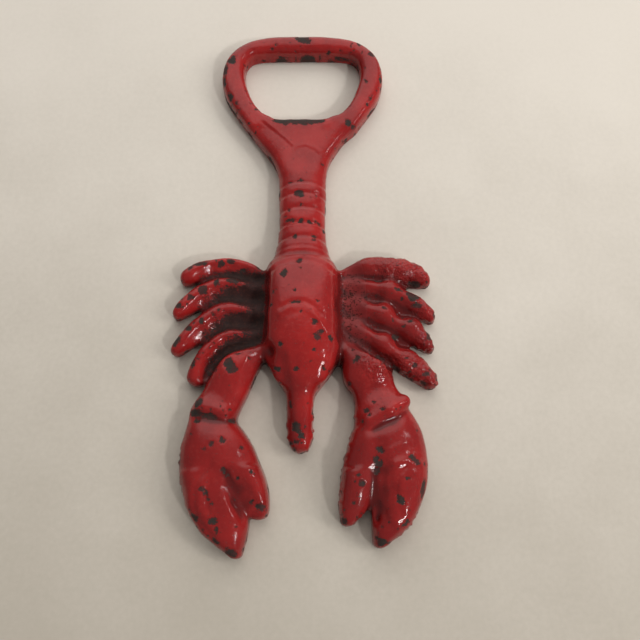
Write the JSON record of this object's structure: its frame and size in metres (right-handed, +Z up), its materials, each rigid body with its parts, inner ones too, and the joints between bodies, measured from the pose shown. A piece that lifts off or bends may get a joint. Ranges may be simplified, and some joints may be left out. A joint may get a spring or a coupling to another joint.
{
  "type": "lobster bottle opener",
  "caption": "One-piece cast iron bottle opener in the shape of a lobster, with a crown-cap loop behind its tail and chipped red enamel.",
  "frame": {"origin": "centre of the bounding box on the flat back, which is the plane the casting rests on", "axes": "+Y from the claw tips to the opener loop, +X to the right seen from above with the loop away, +Z up out of the flat back"},
  "size_m": [0.0735, 0.1556, 0.013],
  "materials": {
    "red_enamel": "gloss enamel over cast iron, chipped to dark iron"
  },
  "bodies": {
    "root": {"opener_bow": "red_enamel", "opener_lip": "red_enamel", "neck_plate": "red_enamel", "tail": "red_enamel", "carapace": "red_enamel", "rostrum": "red_enamel", "leg_left_1": "red_enamel", "leg_left_2": "red_enamel", "leg_left_3": "red_enamel", "leg_left_4": "red_enamel", "leg_right_1": "red_enamel", "leg_right_2": "red_enamel", "leg_right_3": "red_enamel", "leg_right_4": "red_enamel", "arm_left": "red_enamel", "arm_right": "red_enamel", "claw_left_palm": "red_enamel", "claw_left_finger": "red_enamel", "claw_left_thumb": "red_enamel", "claw_right_palm": "red_enamel", "claw_right_finger": "red_enamel", "claw_right_thumb": "red_enamel"}
  },
  "joints": []
}
